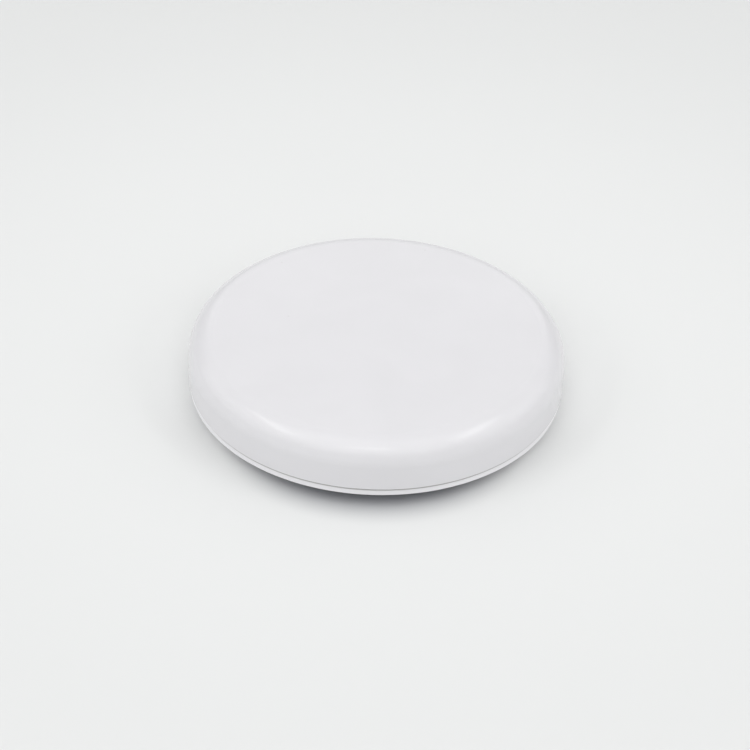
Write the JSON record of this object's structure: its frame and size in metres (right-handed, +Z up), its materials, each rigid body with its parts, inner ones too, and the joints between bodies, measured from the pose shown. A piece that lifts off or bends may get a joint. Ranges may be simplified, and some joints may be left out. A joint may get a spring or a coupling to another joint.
{
  "type": "water leak sensor",
  "caption": "Round sealed water leak sensor with a domed cover, metal probes for feet, a screwed battery door and a push button underneath.",
  "frame": {"origin": "on the floor, on the axis of the round case, at the level of the probes' tips", "axes": "+Z up, -Y towards the front of the picture, the status light behind the middle on +Y"},
  "size_m": [0.08, 0.08, 0.0166],
  "materials": {
    "cover_plastic": "white, satin, very fine moulded texture",
    "base_plastic": "white, satin",
    "door_plastic": "white, satin",
    "button_plastic": "light grey, satin",
    "plug_rubber": "off-white, matt",
    "seal_rubber": "black, smooth",
    "probe_metal": "gold-plated, polished",
    "nut_metal": "plain",
    "screw_metal": "plain",
    "leaf_metal": "gold-flashed spring bronze",
    "board": "green solder mask, semi-matt",
    "chip_plastic": "black moulded body",
    "shield_metal": "tin-plated sheet",
    "chip_ceramic": "fired body with tinned ends",
    "capacitor_body": "yellow moulded body",
    "led_body": "clear resin",
    "clear_plastic": "clear acrylic",
    "sounder_brass": "bright",
    "sounder_ceramic": "silvered ceramic",
    "cell_metal": "nickel-plated",
    "foam": "dark foam"
  },
  "bodies": {
    "case": {"top_cover": "cover_plastic", "base_shell": "base_plastic", "case_seal": "seal_rubber", "case_screws": "screw_metal", "screw_plug_left": "plug_rubber", "screw_plug_right": "plug_rubber", "screw_plug_front": "plug_rubber", "probe_rear": "probe_metal", "probe_left": "probe_metal", "probe_right": "probe_metal", "probe_seal_rear": "seal_rubber", "probe_seal_left": "seal_rubber", "probe_seal_right": "seal_rubber", "probe_nuts": "nut_metal", "probe_spring_rear": "leaf_metal", "probe_spring_left": "leaf_metal", "probe_spring_right": "leaf_metal", "circuit_board": "board", "board_screws": "screw_metal", "radio_module": "board", "radio_shield": "shield_metal", "antenna": "leaf_metal", "tank_capacitor": "capacitor_body", "step_up_coil": "chip_plastic", "boost_diode": "chip_plastic", "driver_transistor": "chip_plastic", "chip_resistors": "chip_ceramic", "chip_capacitors": "chip_ceramic", "status_led": "led_body", "light_guide": "clear_plastic", "sounder_disc": "sounder_brass", "sounder_crystal": "sounder_ceramic", "sounder_spring_centre": "leaf_metal", "sounder_spring_rim": "leaf_metal", "coin_cell": "cell_metal", "battery_contact_positive": "leaf_metal", "battery_contact_negative": "leaf_metal", "switch_body": "chip_plastic"},
    "door_ring": {"door_seal": "seal_rubber"},
    "door": {"battery_door": "door_plastic", "cell_pad": "foam"},
    "push_button": {"button": "button_plastic", "button_seal": "seal_rubber", "button_clip": "nut_metal"},
    "switch_key": {"switch_plunger": "chip_plastic"}
  },
  "joints": [
    {"name": "door_drop", "type": "slide", "parent": "case", "child": "door_ring", "axis": [0, 0, -1], "range_m": [0, 0.002]},
    {"name": "door_turn", "type": "hinge", "parent": "door_ring", "child": "door", "pos_m": [0, 0, 0], "axis": [0, 0, -1], "range_deg": [0, 180]},
    {"name": "button_press", "type": "slide", "parent": "case", "child": "push_button", "axis": [0, 0, 1], "range_m": [0, 0.0003], "stiffness_N_per_m": 3000},
    {"name": "switch_press", "type": "slide", "parent": "case", "child": "switch_key", "axis": [0, 0, 1], "range_m": [0, 0.0003]}
  ],
  "couplings": [
    {"joint": "door_turn", "follows": "door_drop", "rad_per_m": 1570.8},
    {"joint": "switch_press", "follows": "button_press", "ratio": 1}
  ]
}
